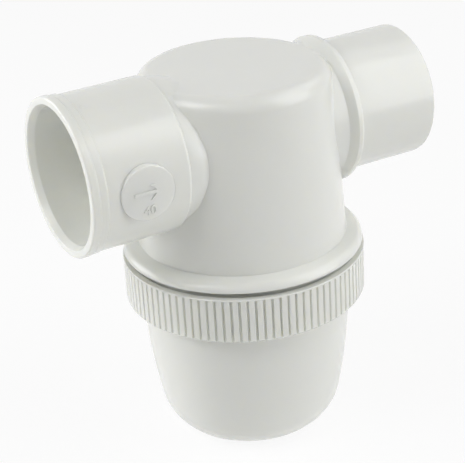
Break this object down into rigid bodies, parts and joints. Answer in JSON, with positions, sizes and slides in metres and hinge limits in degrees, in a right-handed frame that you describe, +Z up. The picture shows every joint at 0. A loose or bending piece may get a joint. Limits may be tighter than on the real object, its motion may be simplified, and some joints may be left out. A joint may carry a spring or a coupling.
{
  "type": "basin trap",
  "caption": "Inline basin trap of white PVC: socket inlet, spigot outlet, round chamber with an inner dip tube, and a cup held by a knurled union nut.",
  "frame": {"origin": "middle of the flat that the cup stands on", "axes": "+Z up along the chamber's axis, +X along the pipe axis towards the outlet spigot, inlet socket on -X"},
  "size_m": [0.1148, 0.0732, 0.1198],
  "materials": {
    "body_pvc": "moulded, semi-gloss",
    "nut_pvc": "moulded, semi-gloss",
    "cup_pvc": "moulded, semi-gloss",
    "seal_rubber": "moulded, dull"
  },
  "bodies": {
    "trap_body": {"trap_body": "body_pvc"},
    "cup": {"cup": "cup_pvc", "seal": "seal_rubber"},
    "ring_nut": {"ring_nut": "nut_pvc"}
  },
  "joints": [
    {"name": "cup_drop", "type": "slide", "parent": "trap_body", "child": "cup", "axis": [0, 0, -1], "range_m": [0, 0.008]},
    {"name": "nut_turn", "type": "hinge", "parent": "cup", "child": "ring_nut", "pos_m": [0, 0, 0.0525], "axis": [0, 0, -1], "range_deg": [0, 720]}
  ],
  "couplings": [
    {"joint": "cup_drop", "follows": "nut_turn", "m_per_rad": 0.0006366}
  ]
}
